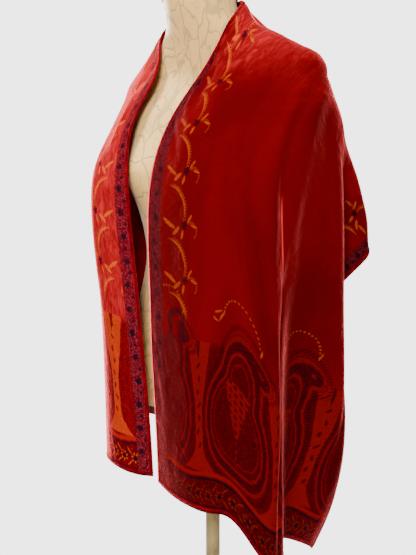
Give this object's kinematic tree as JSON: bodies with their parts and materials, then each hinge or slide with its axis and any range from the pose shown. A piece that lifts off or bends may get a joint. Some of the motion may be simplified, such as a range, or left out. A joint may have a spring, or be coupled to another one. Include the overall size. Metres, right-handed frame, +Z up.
{
  "type": "velvet scarf on a dress form stand",
  "caption": "Velvet scarf draped open over the shoulders of a limbless dress form, which stands on a pole with a round base.",
  "frame": {"origin": "on the floor under the middle of the pole, at the base's underside", "axes": "+Z up, the form faces -Y, and its left side is +X"},
  "size_m": [0.4471, 0.3307, 1.4693],
  "materials": {
    "velvet": "crimson silk velvet with a printed paisley border",
    "velvet_hem": "narrow rolled hem of the same velvet",
    "form_cover": "cream fabric with a low scroll relief",
    "cap": "pale satin",
    "board": "dark stained board",
    "stand": "warm brushed metal"
  },
  "bodies": {
    "root": {"scarf_left_front": "velvet", "scarf_left_side": "velvet", "scarf_back": "velvet", "scarf_right_front": "velvet", "scarf_right_side": "velvet", "hem_neck_left_front": "velvet_hem", "hem_neck_back": "velvet_hem", "hem_neck_right_front": "velvet_hem", "hem_outer_left_front": "velvet_hem", "hem_outer_back": "velvet_hem", "hem_outer_right_front": "velvet_hem", "hem_end_left": "velvet_hem", "hem_end_right": "velvet_hem", "form_torso": "form_cover", "form_board": "board", "neck_cap": "cap", "pole": "stand", "pole_collar": "stand", "base_disc": "stand"}
  },
  "joints": []
}
